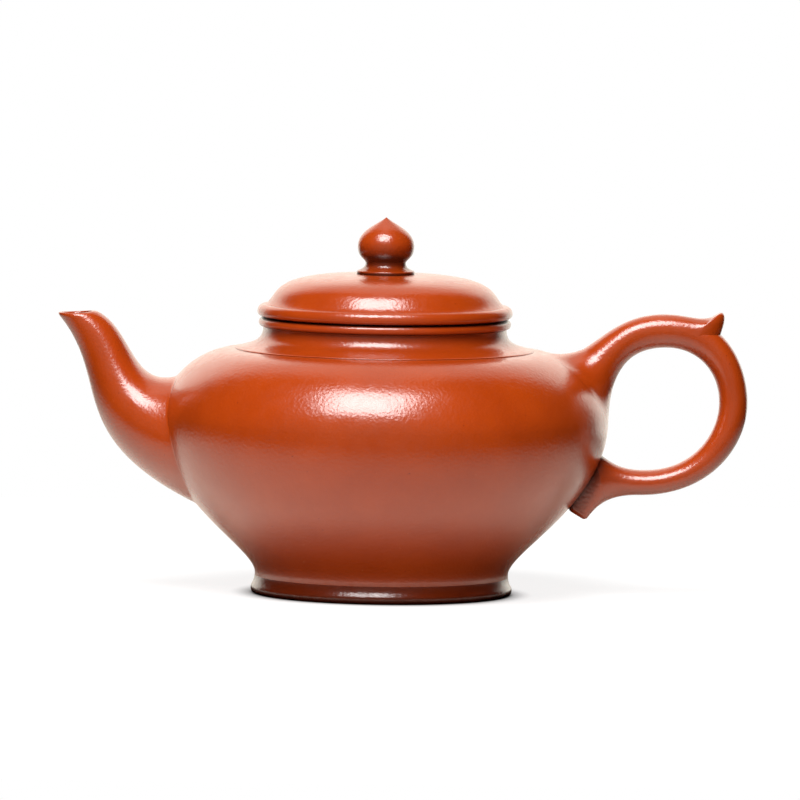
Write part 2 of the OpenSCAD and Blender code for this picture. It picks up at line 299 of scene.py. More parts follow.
# Clay. Scales are in patches per metre. A span says between which values of a noise, or of the
# openness of a recess, the look changes.

CLAY_IOR = 1.9
MOTTLE_SCALE = 90
MOTTLE_SPAN = (0.3, 0.7)
DARK_GRAIN_SCALE = 1500
DARK_GRAIN_SPAN = (0.76, 0.84)
LIGHT_GRAIN_SCALE = 2100
LIGHT_GRAIN_SPAN = (0.78, 0.86)
# Openness span over which the colour goes from painted shade in recesses to the clay's own.
PAINTED_SHADE_SPAN = (0.45, 0.92)
GLOSS_SCALE = 420
GLOSS_SPAN = (0.3, 0.7)
PEEL_SCALE = 1400
PEEL_ROUGHNESS = 0.4
PEEL_HEIGHT = 0.06 * MM
SKIN_SCALE = 2600

# In each look, the darkest colour is the painted shade that recesses take on.
RED = {
    "dark": (0.45, 0.049, 0.002),
    "light": (0.51, 0.059, 0.003),
    "dark_grain": (0.26, 0.026, 0.003),
    "light_grain": (0.62, 0.16, 0.05),
    "painted_shade": (0.06, 0.006, 0.0008),
    "roughness": (0.21, 0.27),
    "skin_height": 0.006 * MM,
}
RAW = {
    "dark": (0.44, 0.09, 0.03),
    "light": (0.52, 0.12, 0.045),
    "dark_grain": (0.26, 0.04, 0.012),
    "light_grain": (0.65, 0.25, 0.12),
    "painted_shade": (0.2, 0.04, 0.012),
    "roughness": (0.5, 0.62),
    "skin_height": 0.02 * MM,
}
# Reaches of the painted shade in recesses: a short one, and a long one that also darkens the foot
# and the knob.
PAINTED_SHADE_REACH = 6 * MM
RECESS_PAINTED_SHADE_REACH = 15 * MM


def clay(name, look, painted_shade_reach):
    """Fired clay with mottled colour, fine grains, an orange-peel skin and painted shade in its
    recesses.
    """
    material = bpy.data.materials.new(name)
    material.use_nodes = True
    tree = material.node_tree
    shader = tree.nodes["Principled BSDF"]
    smoothest, roughest = look["roughness"]
    plug(tree, CLAY_IOR, shader.inputs["IOR"])
    plug(tree, look["light"], shader.inputs["Base Color"])
    plug(tree, roughest, shader.inputs["Roughness"])
    coords = output(tree, "ShaderNodeTexCoord", "Object")

    mottle = noise(tree, coords, MOTTLE_SCALE, detail=3)
    colour = ramp(tree, mottle, MOTTLE_SPAN, look["dark"], look["light"])
    grains = noise(tree, coords, DARK_GRAIN_SCALE, detail=1)
    grains = ramp(tree, grains, DARK_GRAIN_SPAN, BLACK, WHITE)
    colour = mix(tree, grains, colour, look["dark_grain"])
    grains = noise(tree, coords, LIGHT_GRAIN_SCALE, detail=1)
    grains = ramp(tree, grains, LIGHT_GRAIN_SPAN, BLACK, WHITE)
    colour = mix(tree, grains, colour, look["light_grain"])
    # Painted shade: the colour darkens where the surface is hemmed in within the reach.
    unshaded = ramp(tree, openness(tree, painted_shade_reach), PAINTED_SHADE_SPAN, BLACK, WHITE)
    plug(tree, mix(tree, unshaded, look["painted_shade"], colour), shader.inputs["Base Color"])

    gloss = noise(tree, coords, GLOSS_SCALE, detail=3)
    gloss = ramp(tree, gloss, GLOSS_SPAN, (smoothest,) * 3, (roughest,) * 3)
    plug(tree, gloss, shader.inputs["Roughness"])
    peel = noise(tree, coords, PEEL_SCALE, detail=2, roughness=PEEL_ROUGHNESS)
    skin = noise(tree, coords, SKIN_SCALE, detail=2)
    normal = bump(tree, peel, PEEL_HEIGHT)
    normal = bump(tree, skin, look["skin_height"], normal)
    plug(tree, normal, shader.inputs["Normal"])
    return material


# Painted shade darkens the recesses of all three clays; the second one's reaches further, for the
# foot and the knob.
red_clay = clay("red_clay", RED, PAINTED_SHADE_REACH)
deep_shade_clay = clay("deep_shade_clay", RED, RECESS_PAINTED_SHADE_REACH)
raw_clay = clay("raw_clay", RAW, PAINTED_SHADE_REACH)

# These three stay the CAD solids, in raw clay.
for plain in ("base_disc", "top_disc", "ball_strainer"):
    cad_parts[plain].data.materials.clear()
    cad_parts[plain].data.materials.append(raw_clay)

# Mesh building. An edge whose faces meet at more degrees than a SHARP value is sharp.

SHARP = 40
LOFT_SHARP = 60
KNOB_SHARP = 70
ON_AXIS = 1e-6
# Shares of the way from the edge of a cut-out in the mesh to the round hole in it.
HOLE_STEPS = (0.4, 0.75, 1)


class Shell:
    """Vertices and faces of one piece while it is built, in millimetres."""

    def __init__(self):
        self.points = []
        self.faces = []
        self.raw = []

    def ring(self, points):
        """Adds a row of vertices and gives their numbers."""
        first = len(self.points)
        self.points += [tuple(float(c) for c in p) for p in points]
        return list(range(first, len(self.points)))

    def face(self, corners, raw=False):
        """Adds a face, whose doubled corners count once."""
        self.faces.append(list(dict.fromkeys(corners)))
        self.raw.append(raw)

    def join(self, a, b, closed=True, raw=False):
        """Faces between two rows of vertices. A row of one vertex makes a fan."""
        count = max(len(a), len(b))
        for j in range(count if closed else count - 1):
            k = (j + 1) % count
            self.face([a[j % len(a)], a[k % len(a)], b[k % len(b)], b[j % len(b)]], raw)

    def join_rows(self, rows, closed=True, raw=False):
        """Faces between each row of vertices and the next."""
        for a, b in zip(rows, rows[1:]):
            self.join(a, b, closed, raw)

    def cap(self, row, centre):
        """Closes a ring with a fan round a centre point."""
        self.join(row, self.ring([centre]))

    def drop(self, patch):
        """Removes the faces whose corners all lie in a set of vertices."""
        kept = [i for i, f in enumerate(self.faces) if not patch.issuperset(f)]
        self.faces = [self.faces[i] for i in kept]
        self.raw = [self.raw[i] for i in kept]

    def piece(self, name, node, body, sharp=SHARP):
        """A Blender object that stands for the CAD node and rides on its body."""
        mesh = bpy.data.meshes.new(name)
        mesh.from_pydata([[c * MM for c in p] for p in self.points], [], self.faces)
        mesh.materials.append(red_clay)
        mesh.materials.append(raw_clay)
        mesh.polygons.foreach_set("material_index", [int(r) for r in self.raw])
        bm = bmesh.new()
        bm.from_mesh(mesh)
        loose = [v for v in bm.verts if not v.link_faces]
        bmesh.ops.delete(bm, geom=loose, context="VERTS")
        bmesh.ops.recalc_face_normals(bm, faces=bm.faces)
        bm.to_mesh(mesh)
        bm.free()
        mesh.shade_smooth()
        mesh.set_sharp_from_angle(angle=math.radians(sharp))
        obj = bpy.data.objects.new(name, mesh)
        bpy.context.scene.collection.objects.link(obj)
        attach(obj, body)
        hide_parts(node)
        return obj


def turned(shell, outline, raw_from=None):
    """Turns an outline about Z. Rows from number raw_from on are raw clay."""
    angles = np.linspace(0, 2 * math.pi, TURN_STEPS, endpoint=False)
    circle = np.column_stack([np.cos(angles), np.sin(angles)])
    rows = []
    for r, z in outline:
        if r < ON_AXIS:
            rows.append(shell.ring([(0, 0, z)]))
        else:
            rows.append(shell.ring(np.column_stack([r * circle, np.full(TURN_STEPS, z)])))
    for i, (a, b) in enumerate(zip(rows, rows[1:])):
        shell.join(a, b, raw=raw_from is not None and i >= raw_from)
    return rows


def ring_piece(name, node, body, outline):
    """A ring whose closed outline is turned about Z."""
    shell = Shell()
    rows = turned(shell, outline)
    shell.join(rows[-1], rows[0])
    return shell.piece(name, node, body)


def knob_piece(name, node, outline, sharp=SHARP):
    """A piece of the lid's knob, whose outline begins and ends on the axis."""
    shell = Shell()
    turned(shell, outline)
    obj = shell.piece(name, node, "lid", sharp)
    # Painted shade: the knob's pieces take the clay whose recess darkening reaches further, darker
    # under the knob.
    obj.data.materials[0] = deep_shade_clay


def around(middle, reach):
    """Whole numbers within reach of a middle one."""
    return range(middle - reach, middle + reach + 1)


def pierce(shell, skins, columns, radius, flat):
    """Cuts a round hole through two skins.

    A skin is its rows of vertices and its way from the hole's plane back onto it. The function
    flat gives a point's place in that plane, seen from the hole's middle.
    """
    rims = []
    for rows, lift in skins:
        edge = [rows[0][j] for j in columns]
        edge += [row[columns[-1]] for row in rows[1:-1]]
        edge += [rows[-1][j] for j in reversed(columns)]
        edge += [row[columns[0]] for row in reversed(rows[1:-1])]
        shell.drop({row[j] for row in rows for j in columns})
        ring = edge
        for share in HOLE_STEPS:
            points = []
            for v in edge:
                p = flat(shell.points[v])
                points.append(lift(p + share * (radius * p / np.linalg.norm(p) - p)))
            inner = shell.ring(points)
            shell.join(ring, inner)
            ring = inner
        rims.append(ring)
    shell.join(rims[0], rims[1])


# Body, turned about Z.

# The cut-out for the outlet: its half height, and its columns on each side.
OUTLET_CUT_H = 8
OUTLET_CUT_COLUMNS = 5


def belly_skin(rows, curve):
    """Rows of a skin of the belly round the outlet, and the way from its plane onto the skin."""
    def lift(p):
        z = OUTLET_Z + p[1]
        return (-math.sqrt(np.interp(z, curve[:, 1], curve[:, 0]) ** 2 - p[0] ** 2), p[0], z)

    heights = (OUTLET_Z - OUTLET_CUT_H, OUTLET_Z + OUTLET_CUT_H)
    low, high = np.searchsorted(belly_curve[:, 1], heights)
    return rows[low:high], lift


def belly_wall():
    """The hollow belly, with the outlet hole on the spout's side."""
    bottom = [(SEAM_R, FOOT_H), (WAIST_R, FOOT_H)]
    top = [(TOP_DISC_R, SHOULDER_Z), (TOP_DISC_R, SHOULDER_Z - WALL)]
    skin_end = len(bottom) + len(belly_curve)
    shell = Shell()
    rows = turned(shell, np.vstack([bottom, belly_curve, top, cavity_curve[::-1]]), skin_end)
    shell.join(rows[-1], rows[0], raw=True)
    outside = rows[len(bottom):skin_end]
    inside = rows[-len(belly_curve):][::-1]
    pierce(
        shell,
        [belly_skin(outside, belly_curve), belly_skin(inside, cavity_curve)],
        around(TURN_STEPS // 2, OUTLET_CUT_COLUMNS),
        OUTLET_R,
        lambda p: np.array([p[1], p[2] - OUTLET_Z]),
    )
    shell.piece("pot_belly", "belly_wall", "pot")


belly_wall()

foot_outline = np.vstack([
    [(SEAM_R, FOOT_H), (SEAM_R, 0.6), (SEAM_R + 0.2, 0.2), (SEAM_R + 0.6, 0)],
    chain([
        [
            (FOOT_REST_R, 0), (FOOT_LIP_R - 0.1, 0),
            (FOOT_LIP_R, FOOT_LIP_Z / 2), (FOOT_LIP_R, FOOT_LIP_Z),
        ],
        [
            (FOOT_LIP_R, FOOT_LIP_Z), (FOOT_LIP_R, FOOT_LIP_Z + 0.9),
            (WAIST_R + 0.2, FOOT_LIP_Z + 1), (WAIST_R, FOOT_H),
        ],
    ], RING_STEPS),
])
foot_ring = ring_piece("pot_foot", "foot_ring", "pot", foot_outline)
# Painted shade: the foot takes the clay whose recess darkening reaches further, so it darkens like
# shade under the belly.
foot_ring.data.materials[0] = deep_shade_clay

# A low step runs round the neck's foot.
neck_step = np.array([NECK_BASE_R - 0.35, SHOULDER_Z + 0.32])
neck_outline = np.vstack([
    [(MOUTH_R, SHOULDER_Z), (NECK_BASE_R, SHOULDER_Z)],
    chain([
        [
            (NECK_BASE_R, SHOULDER_Z + 0.05), (NECK_BASE_R, SHOULDER_Z + 0.15),
            (NECK_BASE_R - 0.1, SHOULDER_Z + 0.25), neck_step,
        ],
        [
            neck_step, (NECK_BASE_R - 3.5, SHOULDER_Z + 1.2),
            (NECK_R, SHOULDER_Z + 1.6), (NECK_R, RIM_Z),
        ],
    ], NECK_STEPS),
    [(MOUTH_R, RIM_Z)],
])
ring_piece("pot_neck", "neck", "pot", neck_outline)

rim_groove = np.array([NECK_R + 0.4, RIM_Z + 0.35])
rim_bulge = np.array([RIM_R, RIM_Z + 1.2])
rim_outline = np.vstack([
    [(MOUTH_R, RIM_Z)],
    chain([
        [(NECK_R, RIM_Z), (NECK_R, RIM_Z + 0.2), (NECK_R + 0.1, RIM_Z + 0.3), rim_groove],
        [rim_groove, (RIM_R - 0.2, RIM_Z + 0.45), (RIM_R, RIM_Z + 0.8), rim_bulge],
        [rim_bulge, (RIM_R, LID_Z - 0.5), (RIM_R - 0.6, LID_Z - 0.1), (RIM_R - 1.6, LID_Z)],
    ], RING_STEPS),
    [(MOUTH_R + 0.4, LID_Z), (MOUTH_R + 0.15, LID_Z - 0.12), (MOUTH_R, LID_Z - 0.4)],
])
ring_piece("pot_mouth_rim", "mouth_rim", "pot", rim_outline)

# Lid, turned about Z.

# The cut-out for the air hole: its rows and columns on each side of the middle.
VENT_CUT_ROWS = 3
VENT_CUT_COLUMNS = 7


def lid_skin(rows, curve):
    """Rows of a skin of the lid round the air hole, and the way from its plane onto the skin."""
    order = np.argsort(curve[:, 0])

    def lift(p):
        y = VENT_Y + p[1]
        return (p[0], y, np.interp(math.hypot(p[0], y), curve[order, 0], curve[order, 1]))

    middle = int(np.argmin(abs(curve[:, 0] - VENT_Y)))
    return [rows[i] for i in around(middle, VENT_CUT_ROWS)], lift


def lid_dome():
    """The domed plate of the lid, with the air hole behind the knob."""
    dome_curve = bezier([
        (SEAT_R, SEAT_Z), (SEAT_R + 20, SEAT_Z - 0.2), (DOME_R - 3, DOME_Z + 2.4), (DOME_R, DOME_Z),
    ], DOME_STEPS)
    under_curve = bezier([
        (FLANGE_BORE_R, DOME_Z), (FLANGE_BORE_R, DOME_Z + 2.5),
        (FLANGE_BORE_R - 10, SEAT_Z - LID_WALL), (0, SEAT_Z - LID_WALL),
    ], UNDER_STEPS)
    skin_end = 1 + len(dome_curve)
    shell = Shell()
    rows = turned(shell, np.vstack([[(0, SEAT_Z)], dome_curve, under_curve]), skin_end)
    outside, lift_outside = lid_skin(rows[1:skin_end], dome_curve)
    inside, lift_inside = lid_skin(rows[skin_end:], under_curve)
    pierce(
        shell,
        [(outside, lift_outside), (inside[::-1], lift_inside)],
        around(TURN_STEPS // 4, VENT_CUT_COLUMNS),
        VENT_R,
        lambda p: np.array([p[0], p[1] - VENT_Y]),
    )
    shell.piece("lid_top", "lid_dome", "lid")


lid_dome()

lid_bulge = np.array([LID_R, LID_Z + 1.2])
lid_rim_outline = np.vstack([
    [(FLANGE_R, LID_Z)],
    chain([
        [(LID_R - 1.4, LID_Z), (LID_R - 0.5, LID_Z + 0.1), (LID_R, LID_Z + 0.6), lid_bulge],
        [lid_bulge, (LID_R, DOME_Z - 0.8), (LID_R - 0.6, DOME_Z), (LID_R - 1.6, DOME_Z)],
    ], RING_STEPS),
    [(FLANGE_R, DOME_Z)],
])
ring_piece("lid_edge", "lid_rim", "lid", lid_rim_outline)

FLANGE_ROUND = 0.75
FLANGE_PULL = 0.3
flange_outline = np.vstack([
    bezier([
        (FLANGE_BORE_R, FLANGE_FOOT_Z + FLANGE_ROUND), (FLANGE_BORE_R, FLANGE_FOOT_Z + FLANGE_PULL),
        (FLANGE_BORE_R + FLANGE_PULL, FLANGE_FOOT_Z), (FLANGE_BORE_R + FLANGE_ROUND, FLANGE_FOOT_Z),
    ], CORNER_STEPS),
    bezier([
        (FLANGE_R - FLANGE_ROUND, FLANGE_FOOT_Z), (FLANGE_R - FLANGE_PULL, FLANGE_FOOT_Z),
        (FLANGE_R, FLANGE_FOOT_Z + FLANGE_PULL), (FLANGE_R, FLANGE_FOOT_Z + FLANGE_ROUND),
    ], CORNER_STEPS),
    [(FLANGE_R, DOME_Z), (FLANGE_BORE_R, DOME_Z)],
])
flange = ring_piece("lid_guide", "lid_flange", "lid", flange_outline)
flange.data.materials[0] = raw_clay

seat_edge = np.array([SEAT_R - 0.3, SEAT_EDGE_Z + 0.22])
seat_outline = np.vstack([
    [(0, SEAT_Z), (SEAT_R - 0.3, SEAT_Z), (SEAT_R - 0.06, SEAT_Z + 0.06), (SEAT_R, SEAT_Z + 0.25)],
    chain([
        [
            (SEAT_R, SEAT_EDGE_Z - 0.15), (SEAT_R, SEAT_EDGE_Z + 0.05),
            (SEAT_R - 0.1, SEAT_EDGE_Z + 0.15), seat_edge,
        ],
        [
            seat_edge, (SEAT_R - 1, SEAT_EDGE_Z + 0.5),
            (KNOB_NECK_R, SEAT_EDGE_Z + 0.9), (KNOB_NECK_R, KNOB_Z),
        ],
    ], RING_STEPS),
    [(0, KNOB_Z)],
])
knob_piece("lid_knob_seat", "knob_seat", seat_outline)

knob_outline = np.vstack([
    [(0, KNOB_Z)],
    chain([
        [
            (KNOB_NECK_R, KNOB_Z), (KNOB_NECK_R, KNOB_Z + 1),
            (KNOB_R, KNOB_WIDEST_Z - 2.7), (KNOB_R, KNOB_WIDEST_Z),
        ],
        [
            (KNOB_R, KNOB_WIDEST_Z), (KNOB_R, KNOB_WIDEST_Z + 3.8),
            (2, KNOB_TIP_Z - 1.7), (0, KNOB_TIP_Z),
        ],
    ], KNOB_STEPS),
])
knob_piece("lid_knob", "knob", knob_outline, KNOB_SHARP)

# Lofts between two edge lines in the XZ plane, for the spout and the handle.

# Round a seam on the belly: how far the hidden skirt reaches, in fillets, how deep skirt and
# fillet sink into the wall, the pull of the fillet's curve at both ends, and its steps.
SKIRT_REACH = 1.3
SKIRT_SINK = 0.08
FILLET_SINK = 0.02
FILLET_PULLS = (0.6, 0.85)
FILLET_STEPS = 16
LENGTH_STEPS = 400


def root_point(z, sink=ROOT_SINK):
    """Point x, z in the belly's wall, on the handle's side."""
    return np.array([belly_r_at(z) - sink, z])


def section(a, b, half_w, egg, power, sides):
    """One ring of a loft, from point a of one edge line to point b of the other."""
    angles = np.linspace(0, 2 * math.pi, sides, endpoint=False)
    c, s = np.cos(angles), np.sin(angles)
    u = np.sign(c) * abs(c) ** (2 / power)
    v = np.sign(s) * abs(s) ** (2 / power)
    flat = (a + b) / 2 + u[:, None] * (b - a) / 2
    return np.column_stack([flat[:, 0], half_w * v * (1 + egg * u), flat[:, 1]])


def line_at(line, places):
    """Points of a line of points at decimal places along it."""
    numbers = np.arange(len(line))
    return np.column_stack([np.interp(places, numbers, line[:, i]) for i in range(3)])


def leaving(line):
    """Decimal place at which a line from inside the belly comes out of it."""
    depth = np.array([out_of_belly(p) for p in line])
    k = int(np.nonzero(depth < 0)[0][-1])
    return k + depth[k] / (depth[k] - depth[k + 1])


def rooted(rings, fillet, count):
    """Rows of a loft with a rounded seam on the belly, then evenly spaced to its last ring."""
    lines = rings.swapaxes(0, 1)
    places = [leaving(line) for line in lines]
    seam = np.array([line_at(line, [place])[0] for line, place in zip(lines, places)])
    normals = np.array([belly_normal(p) for p in seam])
    outward = np.cross(np.roll(seam, -1, axis=0) - np.roll(seam, 1, axis=0), normals)
    outward /= np.linalg.norm(outward, axis=1)[:, None]
    if np.sum(outward * (seam - seam.mean(axis=0))) < 0:
        outward = -outward
    rounded = []
    for line, place, corner, n, side in zip(lines, places, seam, normals, outward):
        skirt = onto_belly(corner + SKIRT_REACH * fillet * side) - SKIRT_SINK * n
        foot = onto_belly(corner + fillet * side) - FILLET_SINK * n
        fine = np.linspace(place, len(line) - 1, LENGTH_STEPS)
        lengths = np.linalg.norm(np.diff(line_at(line, fine), axis=0), axis=1).cumsum()
        start = fine[1 + int(np.searchsorted(lengths, fillet))]
        rest = line_at(line, np.linspace(start, len(line) - 1, count))
        n = belly_normal(foot)
        rising = corner - foot
        rising -= n * (rising @ n)
        falling = corner - rest[0]
        pulled = (foot + FILLET_PULLS[0] * rising, rest[0] + FILLET_PULLS[1] * falling)
        bend = bezier([foot, *pulled, rest[0]], FILLET_STEPS)
        rounded.append(np.vstack([skirt, bend, rest[1:]]))
    return np.array(rounded).swapaxes(0, 1)


# Spout. Its lip takes the place of the last rings of the loft.

SPOUT_SIDES = 72
SPOUT_STEPS = 120
SPOUT_ROWS = 110
BORE_ROWS = 60
RED_BORE_ROWS = 5
SPOUT_LIP_RINGS = 3
SPOUT_LIP_STEP = 15
SPOUT_FILLET = 0.5
SPOUT_LOW_Z = 18.6
SPOUT_HIGH_Z = 50.5
SPOUT_ROOT_W = 39.0
SPOUT_MOUTH_W = 8.4
SPOUT_ROOT_WALL = 3.0
SPOUT_LIP_WALL = 1.2
SPOUT_EGG = 0.05
# The width shrinks evenly by one share, and by the rest with a flare at the root.
EVEN_SHARE = 0.55
FLARE_POWER = 3.4
# The sides of the lip dip by so much, which begins at this share of the length.
DIP = 0.2
DIP_START = 0.6
# Moves a point x, z from the handle's side of the pot to the spout's.
OTHER_SIDE = (-1, 1)

spout_tip = np.array([-BELLY_R - 23.9, 63.9])
spout_back = spout_tip + (9, 0.5)
spout_lower = bezier([
    root_point(SPOUT_LOW_Z) * OTHER_SIDE, (spout_tip[0] + 0.1, 34.5),
    spout_tip + (13.8, -15.3), spout_tip,
], SPOUT_STEPS)
spout_upper = bezier([
    root_point(SPOUT_HIGH_Z) * OTHER_SIDE, (-BELLY_R - 7, 44.3),
    spout_back + (9.4, -3.9), spout_back,
], SPOUT_STEPS)


def spout_rings(inset):
    """Rings of the spout, inset by a share of its wall."""
    rings = []
    for i in range(SPOUT_STEPS + 1):
        t = i / SPOUT_STEPS
        thickness = inset * (SPOUT_ROOT_WALL + (SPOUT_LIP_WALL - SPOUT_ROOT_WALL) * t)
        chord = spout_upper[i] - spout_lower[i]
        inward = thickness * chord / np.linalg.norm(chord)
        flare = EVEN_SHARE * (1 - t) + (1 - EVEN_SHARE) * (1 - t) ** FLARE_POWER
        half_w = (SPOUT_MOUTH_W + (SPOUT_ROOT_W - SPOUT_MOUTH_W) * flare) / 2 - thickness
        lower, upper = spout_lower[i] + inward, spout_upper[i] - inward
        ring = section(lower, upper, half_w, SPOUT_EGG * t, 2, SPOUT_SIDES)
        dip = DIP * max(0, (t - DIP_START) / (1 - DIP_START)) ** 2
        ring[:, 2] -= dip * (ring[:, 1] / half_w) ** 2
        rings.append(ring)
    return np.array(rings)


def spout():
    """The spout's skin, its rounded lip and its bore."""
    outer, inner = spout_rings(0), spout_rings(1)
    shell = Shell()
    skin = [shell.ring(row) for row in rooted(outer[:-SPOUT_LIP_RINGS], SPOUT_FILLET, SPOUT_ROWS)]
    shell.join_rows(skin)
    outer_edge, inner_edge = outer[-SPOUT_LIP_RINGS - 1], inner[-SPOUT_LIP_RINGS - 1]
    middle = (outer_edge + inner_edge) / 2
    rise = (outer[-1] + inner[-1]) / 2 - middle
    ring = skin[-1]
    for angle in np.radians(range(SPOUT_LIP_STEP, 180, SPOUT_LIP_STEP)):
        row = middle + (outer_edge - inner_edge) / 2 * math.cos(angle) + rise * math.sin(angle)
        lip = shell.ring(row)
        shell.join(ring, lip)
        ring = lip
    bore = []
    for line in inner[:-SPOUT_LIP_RINGS].swapaxes(0, 1):
        bore.append(line_at(line, np.linspace(len(line) - 1, leaving(line), BORE_ROWS)))
    bore = [shell.ring(row) for row in np.array(bore).swapaxes(0, 1)]
    shell.join(ring, bore[0])
    shell.join_rows(bore[:RED_BORE_ROWS + 1])
    shell.join_rows(bore[RED_BORE_ROWS:], raw=True)
    shell.join(bore[-1], skin[0], raw=True)
    shell.piece("pot_spout", "spout", "pot", LOFT_SHARP)


spout()

# Handle. Places along it count the five curves of its inner line: the loop has four, the tail one.

LOOP_SIDES = 64
LOOP_STEPS = 80
LOOP_CURVES = 4
TAIL_START = LOOP_CURVES * LOOP_STEPS
ROOT_ROWS = 60
LOOP_FILLET = 5.5
LOOP_HALF_W = 3.9
ROOT_MORE_W = 5.5
TAIL_MORE_W = 0.8
TAIL_MORE_FROM = 3.28
TAIL_END_LESS_W = 1.2
LOOP_EGG = 0.1
EGG_SPAN = (1.6, 2.4)
TAIL_SQUARENESS = 2.5
TAIL_DEPTH = 5
TAIL_WAY = np.array([0.86, -0.51])
TAIL_ROUND_ROWS = 9
TAIL_ROUND = 0.22
# From this curve on, the handle comes to the belly and sinks into it by so much at most.
LOWER_END = 3
DEEPEST = 1.5
# Shares of x, y and z at which the cap of the root lies inside the belly.
CAP_SINK = (0.97, 0.97, 1)

upper_in = root_point(38)
upper_out = root_point(54.8)
lower_in = root_point(33)
top_in = np.array([SIDE_X - 12.2, 57.7])
top_out = np.array([SIDE_X - 12.6, 65.4])
side_in = np.array([SIDE_X, 45])
side_out = np.array([SIDE_X + 6.6, 45])
low_in = np.array([SIDE_X - 17.2, 29.3])
low_out = np.array([SIDE_X - 18.2, 23.5])
heel = root_point(20.1, 0.2)
toe = heel + TAIL_DEPTH * TAIL_WAY
loop_in = chain([
    [upper_in, upper_in + (3.6, 4), top_in - (15, 0), top_in],
    [top_in, top_in + (7, 0), side_in + (0, 7.5), side_in],
    [side_in, side_in - (0, 6.7), low_in + (11.8, 0), low_in],
    [low_in, low_in - (7.9, 0), lower_in + (3, 0), lower_in],
    [lower_in, lower_in - (1.2, 1.5), heel + (0.5, 4), heel],
], LOOP_STEPS)
loop_out = np.vstack([
    chain([
        [upper_out, upper_out + (9, 0.3), top_out - (13.4, 0), top_out],
        [top_out, top_out + (15.8, 0), side_out + (0, 6.4), side_out],
        [side_out, side_out - (0, 9.5), low_out + (16.9, 0), low_out],
    ], LOOP_STEPS),
    bezier([low_out, low_out - (6.5, 0), toe + (2.6, 3.9), toe], 2 * LOOP_STEPS)[1:],
])


def handle_half_w(place):
    """Half width of the handle: wide at its root, a little wider where the tail begins."""
    if place > LOOP_CURVES:
        return LOOP_HALF_W + TAIL_MORE_W - TAIL_END_LESS_W * smooth(place - LOOP_CURVES)
    root = max(0, 1 - place) ** 2
    tail = max(0, (place - TAIL_MORE_FROM) / (LOOP_CURVES - TAIL_MORE_FROM)) ** 2
    return LOOP_HALF_W + ROOT_MORE_W * root + TAIL_MORE_W * tail


def handle_ring(number):
    """One ring of the handle: egg-shaped above, round below and squarer in the tail."""
    place = number / LOOP_STEPS
    egg = LOOP_EGG * np.interp(place, EGG_SPAN, (1, 0))
    power = 2 + TAIL_SQUARENESS * max(0, place - LOOP_CURVES)
    half_w = handle_half_w(place)
    return section(loop_in[number], loop_out[number], half_w, egg, power, LOOP_SIDES)


handle = np.array([handle_ring(i) for i in range(len(loop_in))])
for ring in handle[LOWER_END * LOOP_STEPS:]:
    for p in ring:
        too_deep = out_of_belly(p) + DEEPEST
        if too_deep < 0:
            p[:2] *= 1 - too_deep / math.hypot(p[0], p[1])

# Thumb rest, on a patch of the loop's back that begins just past the loop's top. Spans count
# rows and columns of the handle's mesh.

HORN_FIRST = 2
HORN_SPAN = 14
HORN_STEPS = 40
HORN_FRONT_STEPS = 16
HORN_END_X = SIDE_X + 0.2
HORN_PROW = 3.6
HORN_RISE = 5.3
HORN_LEAN = 0.2
HORN_POWER = 4
HORN_BULGE = 0.75
BULGE_POWER = 0.6
# Power of the cross-section where the horn begins, and how much less it is at the end.
SWELL_POWER = 1.4
SWELL_LESS = 0.6
SMOOTHINGS = 3
# The loop sinks under the patch, and comes back over these rows at its start and end.
HORN_SINK = 0.6
SINK_START_ROWS = 14
SINK_END_ROWS = 3


def thumb_rest():
    """The horn, whose end is a tongue, longest in the middle. Sinks the handle under it."""
    second_curve = loop_out[LOOP_STEPS:2 * LOOP_STEPS, 0]
    end_row = LOOP_STEPS + int(np.argmin(abs(second_curve - HORN_END_X)))
    patch_rows = range(LOOP_STEPS + HORN_FIRST, end_row + 1)
    patch_columns = range(-HORN_SPAN, HORN_SPAN + 1)
    grid = np.ix_(patch_rows, patch_columns)
    across = np.array(patch_columns) / HORN_SPAN
    loop_x = loop_out[patch_rows, 0]
    numbers = np.arange(len(patch_rows))
    ends = np.interp(loop_x[-1] - HORN_PROW * across**2, loop_x, numbers)

    base = handle[grid]
    inward = handle[patch_rows].mean(axis=1)[:, None] - base
    inward /= np.linalg.norm(inward, axis=2)[:, :, None]
    start = smooth(np.clip((numbers + HORN_FIRST) / SINK_START_ROWS, 0, 1))
    end = np.clip((ends - numbers[:, None]) / SINK_END_ROWS, 0, 1)
    sink = HORN_SINK * start[:, None] * end * (1 - across**2)
    sunk = sink[:, :, None] * inward

    places = [np.linspace(0, last, HORN_STEPS + 1) for last in ends]

    def resampled(values):
        """Values of the patch in even steps along each column, up to the tongue's end."""
        columns = [line_at(values[:, j], place) for j, place in enumerate(places)]
        return np.array(columns).swapaxes(0, 1)

    patch = resampled(base)
    buried = patch + resampled(sunk) / 2
    patch_x = np.array([np.interp(place, numbers, loop_x) for place in places]).T
    along = (patch_x - patch_x[0]) / (patch_x[-1] - patch_x[0])
    swell = (1 - across**2) ** (SWELL_POWER - SWELL_LESS * along)
    horn = patch.copy()
    horn[:, :, 2] += HORN_RISE * along**HORN_POWER * swell
    horn[:, :, 0] += HORN_LEAN * along**HORN_POWER * swell
    front = []
    for share in np.linspace(0, 1, HORN_FRONT_STEPS + 1)[1:]:
        row = horn[-1] + share * (patch[-1] - horn[-1])
        row[:, 0] += HORN_BULGE * math.sin(math.pi * share**BULGE_POWER) * swell[-1]
        front.append(row)
    horn = np.vstack([horn, front])
    for _ in range(SMOOTHINGS):
        horn[1:-1] = (horn[:-2] + 2 * horn[1:-1] + horn[2:]) / 4

    shell = Shell()
    back = [shell.ring(row) for row in horn]
    shell.join_rows(back, closed=False)
    underside = [back[0]]
    for i in range(1, HORN_STEPS):
        underside.append([back[i][0], *shell.ring(buried[i, 1:-1]), back[i][-1]])
    underside.append(back[-1])
    shell.join_rows(underside, closed=False)
    for side in (0, -1):
        shell.face([row[side] for row in back[HORN_STEPS:]])
    shell.piece("pot_thumb_rest", "thumb_rest", "pot", LOFT_SHARP)
    handle[grid] += sunk


